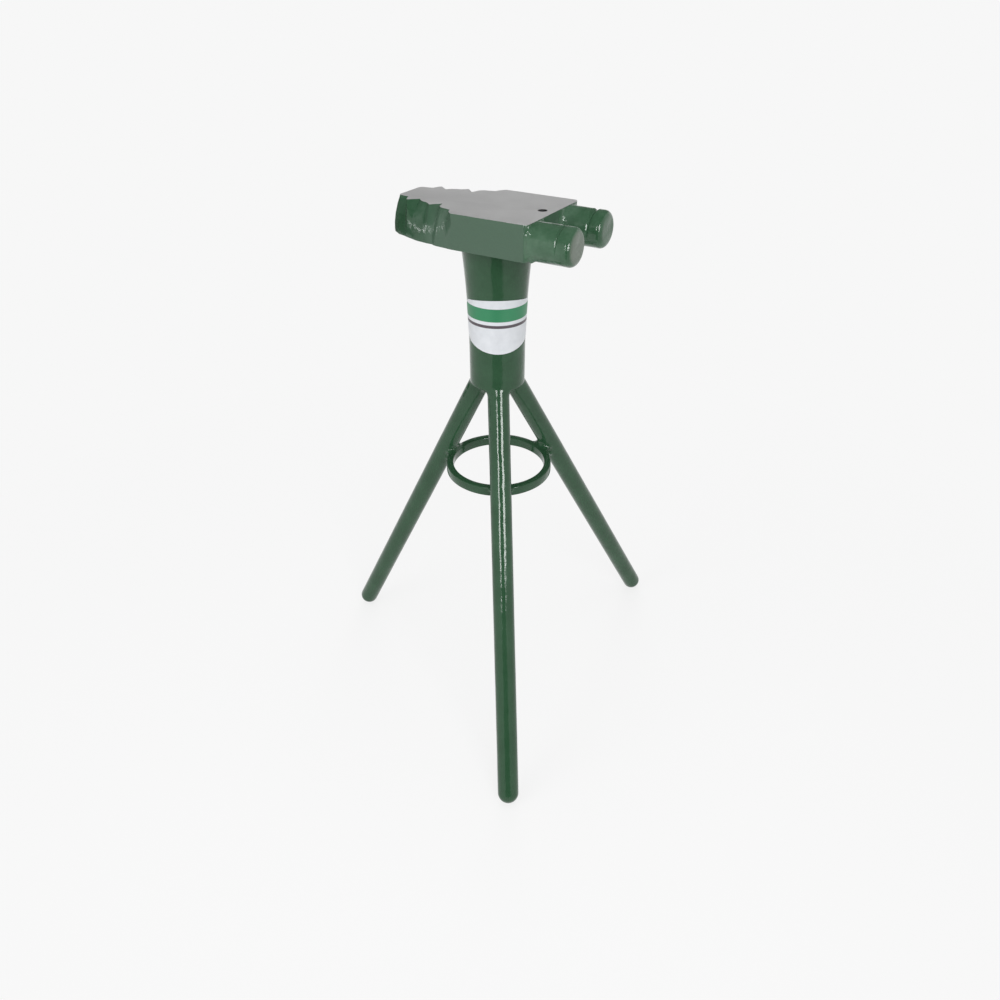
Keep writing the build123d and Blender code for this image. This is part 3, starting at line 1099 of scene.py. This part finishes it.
def facing(turn, out, width, low, high, centre=(0.0, 0.0)):
    """The corners of an upright card of a width that faces a centre."""
    half = math.degrees(math.atan(width / 2 / out))
    return standing(turn - half, turn + half, out, low, high, centre)


def lying(turn, near, far, height):
    """The corners of a level screen that reaches a turn to each side, between two distances."""
    pairs = ((-turn, near), (turn, near), (turn, far), (-turn, far))
    return [polar(angle, out, height) for angle, out in pairs]


def add_card(name, corners, material):
    """A flat card between four corners, which nothing but a reflection sees."""
    bm = bmesh.new()
    bm.faces.new([bm.verts.new(corner) for corner in corners])
    mesh = bpy.data.meshes.new(name)
    bm.to_mesh(mesh)
    bm.free()
    card = bpy.data.objects.new(name, mesh)
    bpy.context.scene.collection.objects.link(card)
    mesh.materials.append(material)
    card.visible_camera = False
    card.visible_diffuse = False
    card.visible_shadow = False
    card.visible_transmission = False


cloth = Graph("screen_cloth")
weave = cloth.mix(cloth.noise(200), CLOTH_DARK, CLOTH_LIGHT)
screen_cloth = cloth.finish(cloth.add("ShaderNodeBsdfDiffuse", {"Color": weave}))
glow = Graph("card_glow")
card_glow = glow.finish(glow.add("ShaderNodeEmission", {"Color": SHOWN, "Strength": CARD_GLOW}))
add_card("floor_screen", lying(**FLOOR_SCREEN), screen_cloth)
for name, place in SCREENS.items():
    add_card(name, standing(**place), screen_cloth)
overhead = [polar(turn, TOP_SCREEN_OUT, TOP_SCREEN_HEIGHT) for turn in (45, 135, 225, 315)]
add_card("top_screen", overhead, screen_cloth)
for name, place in CARDS.items():
    add_card(name, facing(**place), card_glow)
print("five screens and four cards ready")

# %% [markdown]
# The light itself is plain: four soft square panels. The strongest stands beside the camera, and
# weaker ones at its left, behind the stand and overhead. Reflections don't see them, because the
# cards already draw the highlights. A sun lamp would throw one hard shadow, which no studio has.

# %% Lamps
LAMP_AIM = Vector((0, 0, 0.35))
LAMPS = {
    "key_panel": {"turn": 15, "out": 1.6, "height": 1.2, "size": 1.0, "power": 16.0},
    "fill_panel": {"turn": -55, "out": 1.6, "height": 1.0, "size": 1.0, "power": 8.0},
    "back_panel": {"turn": 175, "out": 1.6, "height": 1.0, "size": 1.0, "power": 9.0},
    "top_panel": {"turn": 0, "out": 0.0, "height": 2.4, "size": 2.0, "power": 14.0},
}


def add_panel(name, turn, out, height, size, power):
    """A soft square lamp that points at the middle of the stand."""
    lamp = bpy.data.lights.new(name, "AREA")
    lamp.shape = "RECTANGLE"
    lamp.size = size
    lamp.size_y = size
    lamp.energy = power
    panel = bpy.data.objects.new(name, lamp)
    bpy.context.scene.collection.objects.link(panel)
    panel.location = polar(turn, out, height)
    panel.rotation_mode = "QUATERNION"
    panel.rotation_quaternion = (LAMP_AIM - panel.location).to_track_quat("-Z", "Y")
    panel.visible_glossy = False


for name, lamp in LAMPS.items():
    add_panel(name, **lamp)
bpy.context.scene.view_settings.view_transform = "Standard"
print(len(LAMPS), "lamps ready")
